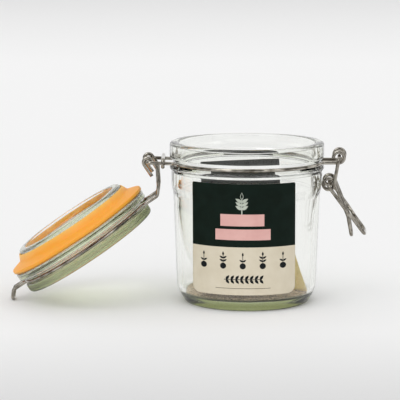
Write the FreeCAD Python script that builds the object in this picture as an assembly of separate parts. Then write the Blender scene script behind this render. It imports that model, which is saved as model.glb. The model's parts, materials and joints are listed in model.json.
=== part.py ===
"""Clip-top glass jar with its lid open, holding a small grow kit.

Millimetres. +Z is up, +X points to the clasp and -X to the hinge. The origin
is the centre of the jar's foot. The lid and its wire are drawn closed on the
jar, then swung open about the hinge bar until the nose touches the table.
"""
import FreeCAD
import Part
import math
import os

Vector = FreeCAD.Vector

# Wire stock, and the gaps that are left round wires and seated pieces
wire_radius = 1.1
wire_bend = 2.4
seat_gap = 0.15
running_gap = 0.3
rest_gap = 0.05
overrun = 2.0

# Jar glass. Heights called "drop" are measured down from the rim.
jar_height = 101.5
body_base_radius = 43.8
body_top_radius = 46.1
shoulder_step_out = 1.2
collar_step_out = 2.4
rim_width = 5.7
wall_thickness = 3.4
floor_thickness = 6.5
mouth_round = 1.6
collar_round = 2.0
bead_drop = 16.8
bead_round = 1.5
shoulder_drop = 18.7
shoulder_height = 9.8
shoulder_step = 4.4
shoulder_round = 15.0
shoulder_top_round = 0.9
inner_heel_round = 2.0
foot_inset = 4.8
foot_round = 2.2
heel_height = 8.0
heel_round = 16.0
foot_width = 8.0
pushup_depth = 1.6
pushup_round = 3.0
pushup_edge_round = 0.8

# Neck belt: one wire round the jar, a hinge nose on one side, two eyes on the other
belt_drop = 12.7
belt_proud = 0.2
groove_round = 1.0
hinge_bar_out = 13.8
hinge_bar_rise = 0.6
hinge_bar_round = 2.0
hinge_side_gap = 0.4
clasp_arm_offset = 8.5
clasp_eye_out = 9.7
stub_play = 0.9
clasp_skew = 5.0
eye_turn = 272.0
tie_out = 4.3

# Lid glass. Depths are measured from the boss face towards the outer face.
boss_gap = 4.7
boss_depth = 11.6
boss_wall = 4.6
boss_round = 1.8
boss_dish_depth = 5.6
boss_dish_round = 3.0
flange_inset = 0.6
flange_thickness = 4.7
flange_round = 1.1
flange_slope = 1.5
lid_groove_inset = 3.5
disc_inset = 1.8
disc_height = 6.2
disc_round = 2.4
face_rim = 10.1
face_dish_depth = 1.5
face_dish_round = 2.0

# Rubber ring, drawn flared up the boss as it sits on the open lid
gasket_thickness = 2.4
gasket_squeeze = 1.0
gasket_inset = 0.2
gasket_rise = 9.2
gasket_lip_thickness = 0.9
gasket_flare_rise = 4.7
gasket_flare_width = 3.0
gasket_round = 0.6

# Lid wire: two hooks on the hinge bar, a ring round the lid and a nose at the front
leg_offset = 10.8
leg_shoulder_in = 6.8
leg_knee_in = 2.8
leg_knee_drop = 4.8
leg_bend = 3.0
hook_gap = 0.5
hook_leg_rise = 6.6
hook_tail = 8.7
nose_offset = 5.0
nose_out = 6.6
nose_tip = 6.2
nose_angle = 50.0
nose_bend = 1.8
nose_tip_round = 4.2

# Lever wire of the clasp
lever_ring_drop = 26.0
lever_ring_gap = 0.5
stub_show = 0.5
stub_bend = 1.8
handle_angle = 22.5
handle_upper = 23.7
handle_upper_offset = 6.5
handle_lower_angle = 10.0
handle_lower = 13.0
handle_offset = 4.0
handle_bend = 8.0
handle_round = 3.2

# Link wire of the clasp, whose bar drops over the nose of the lid wire
link_bar_in = 3.4
link_step = 6.5
link_offset = 9.6
link_bend = 4.0
link_round = 4.0
link_open_angle = 53.5

# Paper label wrapped round the front of the jar
label_thickness = 0.2
label_gap = 0.1
label_drop = 20.9
label_bottom = 11.1
label_half_width = 31.7
label_turn = -4.3
label_corner = 4.5
label_top_corner = 1.0

# Things inside the jar
coir_gap = 0.4
coir_thickness = 2.5
coir_round = 1.0
bag_foot_width = 44.0
bag_foot_depth = 6.0
bag_mouth_width = 17.0
bag_mouth_depth = 1.6
bag_height = 48.5
bag_lean = 15.0
bag_forward = 12.0
bag_gap = 0.6
card_width = 50.0
card_height = 78.9
card_thickness = 1.4
card_shift = -1.2
card_forward = 4.0
card_roll = 2.4
card_lean = 4.0

# Jar radii and heights that follow
shoulder_radius = body_top_radius + shoulder_step_out
collar_radius = body_top_radius + collar_step_out
mouth_radius = collar_radius - rim_width
inner_base_radius = body_base_radius - wall_thickness
foot_radius = body_base_radius - foot_inset
shoulder_top = jar_height - shoulder_drop
shoulder_base = shoulder_top - shoulder_height
belt_height = jar_height - belt_drop
belt_radius = collar_radius - wire_radius + belt_proud
groove_floor = belt_radius - wire_radius - seat_gap
groove_half = wire_radius - 2 * seat_gap

# Hinge and clasp places that follow
hook_radius = 2 * wire_radius + hook_gap
hinge_arm_offset = leg_offset + 2 * wire_radius + hinge_side_gap
hinge_x = -(collar_radius + hinge_bar_out)
hinge_z = belt_height + hinge_bar_rise
tie_x = -(collar_radius + tie_out)
eye_radius = 2 * wire_radius + running_gap + stub_play
eye_z = belt_height + eye_radius
lever_x = collar_radius + clasp_eye_out
lever_z = eye_z - stub_play
eye_shift = clasp_arm_offset * math.tan(math.radians(clasp_skew))
eye_lean = eye_radius * math.sin(math.radians(clasp_skew))
lever_arm_offset = clasp_arm_offset + 2 * wire_radius + running_gap + eye_lean
ring_pitch = 2 * wire_radius + running_gap
ring_x = shoulder_radius + eye_radius + wire_radius + lever_ring_gap - running_gap
ring_z = jar_height - lever_ring_drop
link_arm_offset = lever_arm_offset + ring_pitch
link_x = ring_x
link_z = ring_z - stub_play

# Lid places that follow
boss_radius = mouth_radius - boss_gap
flange_radius = collar_radius - flange_inset
flange_depth = boss_depth + flange_thickness
lid_wire_radius = flange_radius - lid_groove_inset
lid_wire_depth = flange_depth + flange_slope + wire_radius + seat_gap
disc_radius = flange_radius - disc_inset
disc_depth = lid_wire_depth + wire_radius + running_gap
lid_thickness = disc_depth + disc_height
lid_datum = jar_height + gasket_thickness - gasket_squeeze - boss_depth
lid_wire_height = lid_datum + lid_wire_depth
nose_reach = flange_radius + nose_out
link_bar_x = nose_reach - link_bar_in
link_bar_z = lid_wire_height + 2 * wire_radius + running_gap
link_length = math.hypot(link_bar_x - link_x, link_bar_z - link_z)
link_straight = math.hypot(lever_x - link_x, lever_z - link_z) + 2 * wire_radius + running_gap

# Places of the contents that follow
coir_radius = inner_base_radius - inner_heel_round - coir_gap
coir_base = floor_thickness + rest_gap
contents_base = coir_base + coir_thickness + rest_gap
bag_front = bag_forward + bag_foot_depth / 2
bag_right = math.sqrt((inner_base_radius - bag_gap)**2 - bag_front**2)

TURN_PARTS = 9
TANGENT_SHARE = 0.97
TINY = 1e-6


def rounded_edges(corners, closed=False):
    """Lines joined by tangent arcs through corners given as (point, radius)."""
    edges = []
    count = len(corners)
    last_end = None
    first_start = None
    for index, (point, radius) in enumerate(corners):
        start = end = point
        if radius > 0:
            back = (corners[index - 1][0] - point).normalize()
            ahead = (corners[(index + 1) % count][0] - point).normalize()
            half = back.getAngle(ahead) / 2
            start = point + back * (radius / math.tan(half))
            end = point + ahead * (radius / math.tan(half))
            middle = point + (back + ahead).normalize() * (radius / math.sin(half) - radius)
        if last_end is None:
            first_start = start
        elif start.distanceToPoint(last_end) > TINY:
            edges.append(Part.makeLine(last_end, start))
        if radius > 0:
            edges.append(Part.Arc(start, middle, end).toShape())
        last_end = end
    if closed and last_end.distanceToPoint(first_start) > TINY:
        edges.append(Part.makeLine(last_end, first_start))
    return edges


def turned(outline):
    """Solid of revolution from closed outline corners (radius, height, round)."""
    corners = [(Vector(radius, 0, height), fillet) for radius, height, fillet in outline]
    face = Part.Face(Part.Wire(rounded_edges(corners, closed=True)))
    return face.revolve(Vector(0, 0, 0), Vector(0, 0, 1), 360)


def bent_wire(corners):
    """Round wire along (point, bend radius) corners, with flat cut ends."""
    path = Part.Wire(rounded_edges(corners))
    start = corners[0][0]
    along = corners[1][0] - start
    section = Part.Wire(Part.makeCircle(wire_radius, start, along))
    solid = path.makePipeShell([section], True, False)
    expected = math.pi * wire_radius**2 * path.Length
    print("wire length %.1f, volume ratio %.4f" % (path.Length, solid.Volume / expected))
    return solid


def arc_corners(centre, radius, axis_u, axis_v, start, end, parts=TURN_PARTS):
    """Corners that hug an arc from start to end degrees in the plane of two axes."""
    step = math.radians(end - start) / parts
    reach = radius / math.cos(step / 2)
    corners = []
    for index in range(parts):
        turn = math.radians(start) + (index + 0.5) * step
        point = centre + axis_u * (reach * math.cos(turn)) + axis_v * (reach * math.sin(turn))
        corners.append((point, TANGENT_SHARE * radius))
    return corners


def mirrored(corners):
    """The same corners on the other side of the Y = 0 plane, in reverse order."""
    return [(Vector(point.x, -point.y, point.z), radius) for point, radius in reversed(corners)]


def ring_exit(radius, offset):
    """Angle at which a wire leaves a ring for a straight arm at this Y offset."""
    return math.degrees(math.asin((offset + wire_bend) / (radius + wire_bend)))


def exit_corner(radius, offset, height, side):
    """Corner where the ring's tangent meets the arm, on the +X or -X side."""
    turn = math.radians(ring_exit(radius, offset))
    reach = (radius - offset * math.sin(turn)) / math.cos(turn)
    return Vector(side * reach, -offset, height), TANGENT_SHARE * wire_bend


def make_jar_glass():
    """Jar with a pushed-up base, rounded heel, stepped shoulder and belt groove."""
    groove_edge = groove_half + collar_radius - groove_floor
    pushup_radius = foot_radius - foot_width
    outline = [
        (0, pushup_depth, 0),
        (pushup_radius - pushup_depth, pushup_depth, pushup_round),
        (pushup_radius, 0, pushup_edge_round),
        (foot_radius, 0, foot_round),
        (body_base_radius, heel_height, heel_round),
        (body_top_radius, shoulder_base - shoulder_step, shoulder_round),
        (shoulder_radius, shoulder_base, shoulder_round),
        (shoulder_radius, shoulder_top, shoulder_top_round),
        (collar_radius, jar_height - bead_drop, bead_round),
        (collar_radius, belt_height - groove_edge, bead_round),
        (groove_floor, belt_height - groove_half, groove_round / 2),
        (groove_floor, belt_height + groove_half, groove_round / 2),
        (collar_radius, belt_height + groove_edge, groove_round),
        (collar_radius, jar_height, collar_round),
        (mouth_radius, jar_height, mouth_round),
        (inner_base_radius, floor_thickness, inner_heel_round),
        (0, floor_thickness, 0),
    ]
    return turned(outline)


def belt_half(eye_x):
    """Corners of one half of the belt, from its eye's tail to the hinge bar."""
    eye = Vector(eye_x, -clasp_arm_offset, eye_z)
    curl = arc_corners(eye, eye_radius, Vector(1, 0, 0), Vector(0, 0, 1), eye_turn - 90, -90)
    tail_turn = math.radians(eye_turn - 90)
    tail = eye + Vector(math.cos(tail_turn), 0, math.sin(tail_turn)) * eye_radius
    clasp_exit = ring_exit(belt_radius, clasp_arm_offset)
    hinge_exit = ring_exit(belt_radius, hinge_arm_offset)
    ring = arc_corners(Vector(0, 0, belt_height), belt_radius, Vector(1, 0, 0), Vector(0, 1, 0),
                       -clasp_exit, hinge_exit - 180)
    half = [(tail, 0)] + curl
    half.append(exit_corner(belt_radius, clasp_arm_offset, belt_height, 1))
    half += ring
    half.append(exit_corner(belt_radius, hinge_arm_offset, belt_height, -1))
    half.append((Vector(hinge_x, -hinge_arm_offset, hinge_z), hinge_bar_round))
    return half


def make_belt_wire():
    """Neck belt: eye, clasp arm, round the jar, hinge nose, and back to a longer arm."""
    return bent_wire(belt_half(lever_x - eye_shift) + mirrored(belt_half(lever_x + eye_shift)))


def make_hinge_tie():
    """Short staple clinched round both arms of the hinge nose."""
    wrap = 2 * wire_radius + seat_gap
    arm_share = (tie_x + belt_radius) / (hinge_x + belt_radius)
    arm_z = belt_height + hinge_bar_rise * arm_share
    side = hinge_arm_offset + wrap
    half = [
        (Vector(tie_x, -hinge_arm_offset, arm_z - wrap), 0),
        (Vector(tie_x, -side, arm_z - wrap), TANGENT_SHARE * wrap),
        (Vector(tie_x, -side, arm_z + wrap), TANGENT_SHARE * wrap),
    ]
    return bent_wire(half + mirrored(half))


def make_label():
    """Thin paper sheet on the front wall, from the heel to the top of the shoulder."""
    label_top = jar_height - label_drop
    wall = [
        (body_base_radius, heel_height, 0),
        (body_top_radius, shoulder_base - shoulder_step, shoulder_round),
        (shoulder_radius, shoulder_base, shoulder_round),
        (shoulder_radius, shoulder_top + overrun, 0),
    ]
    paper = label_gap + label_thickness
    inner = [(Vector(radius + label_gap, 0, height), fillet) for radius, height, fillet in wall]
    outer = [(Vector(radius + paper, 0, height), fillet) for radius, height, fillet in wall]
    face = Part.Face(Part.Wire(rounded_edges(inner + outer[::-1], closed=True)))
    sheet = face.revolve(Vector(0, 0, 0), Vector(0, 0, 1), -180)
    window = Part.Face(Part.Wire(rounded_edges([
        (Vector(-label_half_width, 0, label_bottom), label_corner),
        (Vector(label_half_width, 0, label_bottom), label_corner),
        (Vector(label_half_width, 0, label_top), label_top_corner),
        (Vector(-label_half_width, 0, label_top), label_top_corner),
    ], closed=True)))
    sheet = sheet.common(window.extrude(Vector(0, -collar_radius - overrun, 0))).Solids[0]
    sheet.rotate(Vector(0, 0, 0), Vector(0, 0, 1), label_turn)
    return sheet


def make_coir_disc():
    """Pressed disc of coconut fibre on the jar's floor."""
    return turned([
        (0, coir_base, 0),
        (coir_radius, coir_base, coir_round),
        (coir_radius, coir_base + coir_thickness, coir_round),
        (0, coir_base + coir_thickness, 0),
    ])


def make_seed_bag():
    """Paper bag of seed, wide at the foot, pinched flat and leaning at the top."""
    def section(right, width, depth, height):
        """Rectangle of the bag at a height, by its right edge."""
        low, high = -bag_forward - depth / 2, -bag_forward + depth / 2
        points = [Vector(right - width, low, height), Vector(right, low, height),
                  Vector(right, high, height), Vector(right - width, high, height)]
        return Part.makePolygon(points + points[:1])
    foot = section(bag_right, bag_foot_width, bag_foot_depth, contents_base)
    mouth = section(bag_right - bag_lean, bag_mouth_width, bag_mouth_depth,
                    contents_base + bag_height)
    return Part.makeLoft([foot, mouth], True, True)


def make_folded_card():
    """Dark folded card that stands on the disc, a little rolled and leaning back."""
    corner = Vector(card_shift - card_width / 2, -card_forward, contents_base)
    card = Part.makeBox(card_width, card_thickness, card_height, corner)
    card.rotate(corner, Vector(0, 1, 0), -card_roll)
    card.rotate(corner + Vector(0, card_thickness, 0), Vector(1, 0, 0), -card_lean)
    return card


def make_lid_glass():
    """Lid with a dished boss, a flange for the rubber, a wire groove and a top disc."""
    groove = lid_wire_radius - wire_radius - seat_gap
    dish_radius = boss_radius - boss_wall
    face_radius = disc_radius - face_rim
    outline = [
        (0, boss_dish_depth, 0),
        (dish_radius - boss_dish_round / 2, boss_dish_depth, boss_dish_round),
        (dish_radius, 0, boss_round / 2),
        (boss_radius, 0, boss_round),
        (boss_radius, boss_depth, 0),
        (flange_radius, boss_depth, flange_round),
        (flange_radius, flange_depth, flange_round),
        (groove, flange_depth + flange_slope, groove_round / 2),
        (groove, disc_depth, groove_round / 2),
        (disc_radius, disc_depth, groove_round),
        (disc_radius, lid_thickness, disc_round),
        (face_radius, lid_thickness, face_dish_round),
        (face_radius - face_dish_depth, lid_thickness - face_dish_depth, face_dish_round / 2),
        (0, lid_thickness - face_dish_depth, 0),
    ]
    glass = turned(outline)
    glass.translate(Vector(0, 0, lid_datum))
    return glass


def make_gasket():
    """Rubber ring that hugs the boss at its inner edge and flares to the flange."""
    inner = boss_radius + seat_gap
    outer = collar_radius - gasket_inset
    flare = inner + gasket_flare_width
    lip = boss_depth - gasket_rise
    flare_depth = boss_depth - gasket_flare_rise
    outline = [
        (inner, lip, 0),
        (inner + gasket_lip_thickness, lip, 0),
        (flare, flare_depth, gasket_flare_width),
        (outer, boss_depth - gasket_thickness, gasket_round),
        (outer, boss_depth - rest_gap, gasket_round),
        (flare + gasket_flare_width, boss_depth - seat_gap, 0),
        (inner, flare_depth + gasket_thickness / 2, 0),
    ]
    ring = turned(outline)
    ring.translate(Vector(0, 0, lid_datum))
    return ring


def nose_tip_point():
    """Middle of the lid wire's nose tip, with the lid closed."""
    rise = math.radians(nose_angle)
    return Vector(nose_reach + nose_tip * math.cos(rise), 0,
                  lid_wire_height + nose_tip * math.sin(rise))


def make_lid_wire():
    """Lid bail: hook, leg, half ring, nose, half ring, leg and hook in one wire."""
    inner, outer = hinge_x + hook_radius, hinge_x - hook_radius
    hook_low = hinge_z - hook_radius
    knee_z = lid_wire_height - leg_knee_drop
    leg_exit = ring_exit(lid_wire_radius, leg_offset)
    nose_exit = ring_exit(lid_wire_radius, nose_offset)
    hook = [
        (Vector(inner, -leg_offset, hinge_z + hook_tail), 0),
        (Vector(inner, -leg_offset, hook_low), TANGENT_SHARE * hook_radius),
        (Vector(outer, -leg_offset, hook_low), TANGENT_SHARE * hook_radius),
        (Vector(outer, -leg_offset, hinge_z + hook_leg_rise), leg_bend),
        (Vector(hinge_x + leg_knee_in, -leg_offset, knee_z), leg_bend),
        (Vector(hinge_x + leg_shoulder_in, -leg_offset, lid_wire_height), leg_bend),
        exit_corner(lid_wire_radius, leg_offset, lid_wire_height, -1),
    ]
    ring = arc_corners(Vector(0, 0, lid_wire_height), lid_wire_radius, Vector(1, 0, 0),
                       Vector(0, 1, 0), leg_exit - 180, -nose_exit)
    nose = [
        exit_corner(lid_wire_radius, nose_offset, lid_wire_height, 1),
        (Vector(nose_reach, -nose_offset, lid_wire_height), nose_bend),
        (nose_tip_point() - Vector(0, nose_offset, 0), nose_tip_round),
    ]
    half = hook + ring + nose
    return bent_wire(half + mirrored(half))


def lid_open_angle():
    """Degrees from closed until the nose of the lid wire touches the table."""
    tip = nose_tip_point() - Vector(hinge_x, 0, hinge_z)
    closed = math.atan2(tip.z, tip.x)
    drop = math.asin((hinge_z - wire_radius) / tip.Length)
    return 180 + math.degrees(drop - closed)


def make_lever():
    """Clasp lever: stub in the eye, arm, one turn of ring, then the handle loop."""
    pivot = Vector(lever_x, 0, lever_z)
    ring = Vector(ring_x, 0, ring_z)
    to_pivot = pivot - ring
    start = math.degrees(math.atan2(to_pivot.z, to_pivot.x)
                         - math.acos(eye_radius / to_pivot.Length))
    turns = arc_corners(ring, eye_radius, Vector(1, 0, 0), Vector(0, 0, 1),
                        start, handle_angle - 360)
    coil = []
    for index, (point, radius) in enumerate(turns):
        inward = ring_pitch * (index + 0.5) / TURN_PARTS
        coil.append((point + Vector(0, inward - lever_arm_offset, 0), radius))
    leave = math.radians(handle_angle)
    lower = math.radians(handle_lower_angle)
    leave_point = ring + Vector(math.cos(leave), 0, math.sin(leave)) * eye_radius
    knee = leave_point + Vector(math.sin(leave), 0, -math.cos(leave)) * handle_upper
    end_point = knee + Vector(math.sin(lower), 0, -math.cos(lower)) * handle_lower
    stub_end = clasp_arm_offset - wire_radius - stub_show
    half = [(pivot + Vector(0, -stub_end, 0), 0),
            (pivot + Vector(0, -lever_arm_offset, 0), stub_bend)]
    half += coil
    half.append((knee + Vector(0, -handle_upper_offset, 0), handle_bend))
    half.append((end_point + Vector(0, -handle_offset, 0), handle_round))
    return bent_wire(half + mirrored(half))


def make_link():
    """Clasp link: stub in the lever's ring, arms drawn in, and the bar at the end."""
    pivot = Vector(link_x, 0, link_z)
    turn = math.radians(link_open_angle)
    along = Vector(math.cos(turn), 0, -math.sin(turn))
    stub_end = lever_arm_offset - ring_pitch - wire_radius - stub_show
    half = [
        (pivot + Vector(0, -stub_end, 0), 0),
        (pivot + Vector(0, -link_arm_offset, 0), stub_bend),
        (pivot + along * link_straight + Vector(0, -link_arm_offset, 0), link_bend),
        (pivot + along * (link_straight + link_step) + Vector(0, -link_offset, 0), link_bend),
        (pivot + along * link_length + Vector(0, -link_offset, 0), link_round),
    ]
    return bent_wire(half + mirrored(half))


def main():
    """Build every piece, open the lid, and write one STEP file per piece."""
    angle = lid_open_angle()
    lid_pieces = {
        "lid_glass": make_lid_glass(),
        "rubber_gasket": make_gasket(),
        "lid_bail_wire": make_lid_wire(),
    }
    for piece in lid_pieces.values():
        piece.rotate(Vector(hinge_x, 0, hinge_z), Vector(0, 1, 0), -angle)
    pieces = {
        "jar_glass": make_jar_glass(),
        "neck_belt_wire": make_belt_wire(),
        "hinge_tie": make_hinge_tie(),
        "paper_label": make_label(),
        "coir_disc": make_coir_disc(),
        "seed_bag": make_seed_bag(),
        "folded_card": make_folded_card(),
        "clasp_lever": make_lever(),
        "clasp_link": make_link(),
    }
    for name in ("clasp_lever", "clasp_link"):
        pieces[name].rotate(Vector(lever_x, 0, 0), Vector(0, 0, 1), -clasp_skew)
    pieces.update(lid_pieces)
    latched = math.degrees(math.atan2(link_bar_z - link_z, link_bar_x - link_x))
    print("lid opens %.3f deg about x %.3f z %.3f" % (angle, hinge_x, hinge_z))
    print("lever pivot x %.3f z %.3f" % (lever_x, lever_z))
    skew = math.radians(clasp_skew)
    print("clasp axis %.5f %.5f 0, eye shift %.3f" % (-math.sin(skew), -math.cos(skew), eye_shift))
    print("link pivot x %.3f y %.3f z %.3f, latched at %.3f deg" % (
        lever_x + (link_x - lever_x) * math.cos(skew), (lever_x - link_x) * math.sin(skew), link_z,
        latched + link_open_angle))
    os.makedirs("parts", exist_ok=True)
    for name, shape in pieces.items():
        box = shape.BoundBox
        print("%-15s %s solids %d volume %.1f  x %.1f..%.1f y %.1f..%.1f z %.2f..%.1f" % (
            name, shape.isValid(), len(shape.Solids), shape.Volume,
            box.XMin, box.XMax, box.YMin, box.YMax, box.ZMin, box.ZMax))
        shape.exportStep("parts/%s.step" % name)


main()
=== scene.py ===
"""Dresses a clip-top glass jar and the grow kit inside it.

Metres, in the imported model's frame: +Z is up, +X points to the clasp and -Y to the label. The centre of the
jar's foot is the origin, and the lid hangs open on the -X side. Sizes of pieces are written in millimetres.
"""

import json
import logging
import math
import random
from dataclasses import dataclass
from enum import Enum
from typing import Any, Callable, Iterable, NamedTuple, Sequence

import bmesh
import bpy
from mathutils import Matrix, Vector, noise

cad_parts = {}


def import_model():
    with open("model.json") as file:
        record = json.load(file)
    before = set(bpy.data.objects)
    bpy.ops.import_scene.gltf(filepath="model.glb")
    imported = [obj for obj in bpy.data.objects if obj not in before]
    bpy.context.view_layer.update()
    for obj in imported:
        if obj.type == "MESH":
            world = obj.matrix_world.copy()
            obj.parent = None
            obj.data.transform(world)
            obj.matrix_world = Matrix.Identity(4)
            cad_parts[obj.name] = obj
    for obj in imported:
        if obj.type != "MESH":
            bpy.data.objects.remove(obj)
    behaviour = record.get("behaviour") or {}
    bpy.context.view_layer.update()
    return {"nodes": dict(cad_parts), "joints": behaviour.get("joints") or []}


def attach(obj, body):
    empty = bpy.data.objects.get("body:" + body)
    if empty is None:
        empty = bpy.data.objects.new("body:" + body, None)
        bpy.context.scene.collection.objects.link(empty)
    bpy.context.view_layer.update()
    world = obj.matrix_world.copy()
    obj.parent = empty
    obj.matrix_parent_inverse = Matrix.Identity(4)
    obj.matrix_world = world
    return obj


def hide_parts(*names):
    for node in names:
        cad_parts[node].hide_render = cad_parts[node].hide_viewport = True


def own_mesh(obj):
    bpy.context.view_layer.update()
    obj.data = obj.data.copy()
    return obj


MM = 0.001
LOG = logging.getLogger("jar_planter")

Material = bpy.types.Material
Mesh = bmesh.types.BMesh
Node = bpy.types.Node
Piece = bpy.types.Object
Socket = bpy.types.NodeSocket
Tree = bpy.types.NodeTree
Links = dict[str | int, Socket]
Point2 = tuple[float, float]
Shaper = Callable[[float, float, float], Point2]


class Body(Enum):
    """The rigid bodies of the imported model."""

    JAR = "jar"
    LID = "lid"
    LEVER = "lever"
    LINK = "link"


class Slot(Enum):
    """The record's material slots."""

    GLASS = "clear_glass"
    WIRE = "bail_wire"
    RUBBER = "orange_rubber"
    LABEL = "label_paper"
    COIR = "coir"
    BAG = "bag_paper"
    CARD = "dark_card"


class Corner(NamedTuple):
    """A corner of an outline in the (radius, height) plane, with its fillet, in millimetres."""

    r: float
    z: float
    fillet: float = 0.0


# Materials


def linear(colour: str) -> tuple[float, float, float, float]:
    """Turns an sRGB hex colour to linear.

    Args:
        colour: The colour as "#RRGGBB".

    Returns:
        Linear red, green, blue and an alpha of 1.
    """
    parts = [int(colour[i : i + 2], 16) / 255 for i in (1, 3, 5)]
    r, g, b = (c / 12.92 if c <= 0.04045 else ((c + 0.055) / 1.055) ** 2.4 for c in parts)
    return r, g, b, 1.0


def add_node(
    tree: Tree,
    kind: str,
    settings: dict[str | int, Any] | None = None,
    links: Links | None = None,
) -> Node:
    """Adds a shader node.

    Args:
        tree: The node tree.
        kind: The node's type name without "ShaderNode".
        settings: Values by property name, or by input name or number.
        links: Output sockets by the name or number of the input that they feed.

    Returns:
        The new node.
    """
    made = tree.nodes.new("ShaderNode" + kind)
    for key, value in (settings or {}).items():
        if isinstance(key, int) or key in made.inputs:
            made.inputs[key].default_value = value
        else:
            setattr(made, key, value)
    for key, socket in (links or {}).items():
        tree.links.new(socket, made.inputs[key])
    return made


def ramp(tree: Tree, factor: Socket, stops: Sequence[tuple[float, str]]) -> Socket:
    """Colours a pattern by its value.

    Args:
        tree: The node tree.
        factor: The pattern's value, from 0 to 1.
        stops: Places and hex colours, in rising order.

    Returns:
        The colour socket.
    """
    made = add_node(tree, "ValToRGB", links={"Fac": factor})
    elements = made.color_ramp.elements
    while len(elements) < len(stops):
        elements.new(0.5)
    for element, (place, colour) in zip(elements, stops):
        element.position = place
        element.color = linear(colour)
    return made.outputs["Color"]


def pattern(
    tree: Tree,
    size_mm: float,
    detail: float = 3.0,
    stretch: tuple[float, float, float] = (1, 1, 1),
    distortion: float = 0.0,
) -> Socket:
    """Adds cloudy noise of a real size.

    Args:
        tree: The node tree.
        size_mm: The width of a blotch.
        detail: How many finer octaves it has.
        stretch: How much it is packed along each axis.
        distortion: How much it swirls.

    Returns:
        The noise's value socket.
    """
    place = add_node(tree, "TexCoord")
    mapped = add_node(tree, "Mapping", {"Scale": stretch}, {"Vector": place.outputs["Object"]})
    made = add_node(
        tree,
        "TexNoise",
        {"Scale": 1 / (size_mm * MM), "Detail": detail, "Distortion": distortion},
        {"Vector": mapped.outputs["Vector"]},
    )
    return made.outputs["Fac"]


def along_axis(tree: Tree, axis: tuple[float, float, float], start_mm: float, end_mm: float) -> Socket:
    """Measures how far along an axis a point of the surface lies.

    Args:
        tree: The node tree.
        axis: The axis, in the frame.
        start_mm: Where the value is 0, from the frame's origin.
        end_mm: Where the value is 1.

    Returns:
        The value socket.
    """
    place = add_node(tree, "TexCoord").outputs["Object"]
    dot = add_node(tree, "VectorMath", {"operation": "DOT_PRODUCT", 1: axis}, {0: place}).outputs["Value"]
    settings = {"From Min": start_mm * MM, "From Max": end_mm * MM}
    return add_node(tree, "MapRange", settings, {"Value": dot}).outputs["Result"]


@dataclass(frozen=True)
class Finish:
    """What every finish has: a name, its own nodes and a way to make its material."""

    name: str

    def shader(self, tree: Tree) -> Links:
        """Builds the finish's own nodes, and gives the sockets for the material's output."""
        raise NotImplementedError

    def make(self) -> Material:
        """Makes the material.

        Returns:
            The material.
        """
        material = bpy.data.materials.new(self.name)
        material.use_nodes = True
        tree = material.node_tree
        tree.nodes.clear()
        add_node(tree, "OutputMaterial", links=self.shader(tree))
        return material

    def relief(self, tree: Tree, height: Socket, depth_mm: float, strength: float = 1.0) -> Socket:
        """Turns a pattern to a bump of a real depth.

        Args:
            tree: The node tree.
            height: The pattern, from 0 to 1.
            depth_mm: How deep the pattern goes.
            strength: How much of the bump is used.

        Returns:
            The normal socket.
        """
        settings = {"Distance": depth_mm * MM, "Strength": strength}
        return add_node(tree, "Bump", settings, {"Height": height}).outputs["Normal"]


@dataclass(frozen=True)
class PressedGlass(Finish):
    """Soda-lime glass pressed in an iron mould: clear, faintly rippled, and green where it is thick.

    The thick end lies along an axis, and is greener and, where the mould was reeded, hazier. The jar's own
    thick colour is also darker than the glass's green: painted shade for the contact shadow and a painted
    reflection of the dark coir in the foot.
    """

    axis: tuple[float, float, float] = (0.0, 0.0, -1.0)
    clear_mm: float = -9.0
    thick_mm: float = -3.0
    # The default thick colour is the foot's green, darkened with painted shade and a painted reflection of
    # the dark coir.
    thick: str = "#9A9D72"
    haze: float = 0.0
    tint: str = "#BBCC7E"
    density: float = 9.0
    ripple_mm: float = 16.0
    ripple_depth_mm: float = 0.05

    def shader(self, tree: Tree) -> Links:
        """Builds the glass, whose iron gives a green that deepens with the path through it.

        Lamps shine through the surface, as they do through the real jar, so that it throws a pale shadow.

        Args:
            tree: The node tree.

        Returns:
            The sockets for the material's output.
        """
        ripple = pattern(tree, self.ripple_mm, detail=1.0, stretch=(1, 1, 0.5))
        depth = along_axis(tree, self.axis, self.clear_mm, self.thick_mm)
        # The base colour runs from clear to the thick colour: the thick glass's green, and with the jar's
        # default colour also painted shade at the foot.
        links = {
            "Base Color": ramp(tree, depth, ((0.0, "#FFFFFF"), (1.0, self.thick))),
            "Normal": self.relief(tree, ripple, self.ripple_depth_mm),
        }
        if self.haze:
            haze = add_node(tree, "Math", {"operation": "MULTIPLY", 1: self.haze}, {0: depth})
            links["Roughness"] = haze.outputs["Value"]
        settings = {"IOR": 1.52, "Transmission Weight": 1.0, "Roughness": 0.0}
        glass = add_node(tree, "BsdfPrincipled", settings, links).outputs["BSDF"]
        clear = add_node(tree, "BsdfTransparent", {"Color": (0.99, 0.99, 0.98, 1)}).outputs["BSDF"]
        shadow = add_node(tree, "LightPath").outputs["Is Shadow Ray"]
        surface = add_node(tree, "MixShader", links={0: shadow, 1: glass, 2: clear})
        settings = {"Color": linear(self.tint), "Density": self.density}
        volume = add_node(tree, "VolumeAbsorption", settings)
        return {"Surface": surface.outputs["Shader"], "Volume": volume.outputs["Volume"]}


@dataclass(frozen=True)
class DrawnWire(Finish):
    """Tinned steel wire, drawn through a die and bent cold: bright, with fine scratches."""

    bright: str = "#B8B3A9"
    dull: str = "#726C62"

    def shader(self, tree: Tree) -> Links:
        """Builds the wire, duller in patches, where the tin has been handled.

        Args:
            tree: The node tree.

        Returns:
            The sockets for the material's output.
        """
        handled = pattern(tree, 5.0, detail=4.0)
        rough = add_node(tree, "MapRange", {"To Min": 0.12, "To Max": 0.05}, {"Value": handled})
        scratches = pattern(tree, 0.35, detail=2.0, stretch=(1, 1, 0.15))
        links = {
            "Base Color": ramp(tree, handled, ((0.35, self.dull), (0.6, self.bright))),
            "Roughness": rough.outputs["Result"],
            "Normal": self.relief(tree, scratches, 0.008, 0.4),
        }
        return {"Surface": add_node(tree, "BsdfPrincipled", {"Metallic": 1.0}, links).outputs["BSDF"]}


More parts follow.
